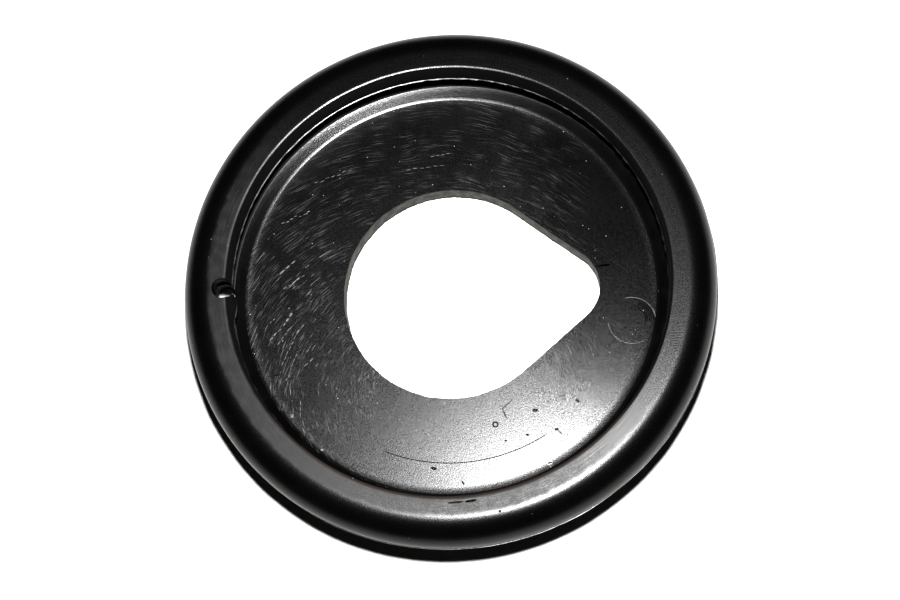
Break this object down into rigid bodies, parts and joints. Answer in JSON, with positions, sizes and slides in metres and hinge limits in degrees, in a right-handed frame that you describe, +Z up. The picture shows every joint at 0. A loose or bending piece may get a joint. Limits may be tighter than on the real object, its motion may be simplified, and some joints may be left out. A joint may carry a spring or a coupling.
{
  "type": "fuel cap gasket",
  "caption": "Round black rubber seal for a fuel filler recess: bulb-shaped rim, recessed flat web with a teardrop opening, drain bore, panel groove and tapered foot.",
  "frame": {"origin": "centre of the flat underside, on the ring's axis", "axes": "+Z up out of the recess, +X toward the rounded point of the teardrop opening"},
  "size_m": [0.1306, 0.1306, 0.0211],
  "materials": {
    "moulded_rubber": "black moulded nitrile rubber, satin on the bead, dry and scuffed on the land and the web"
  },
  "bodies": {
    "root": {"gasket": "moulded_rubber"}
  },
  "joints": []
}
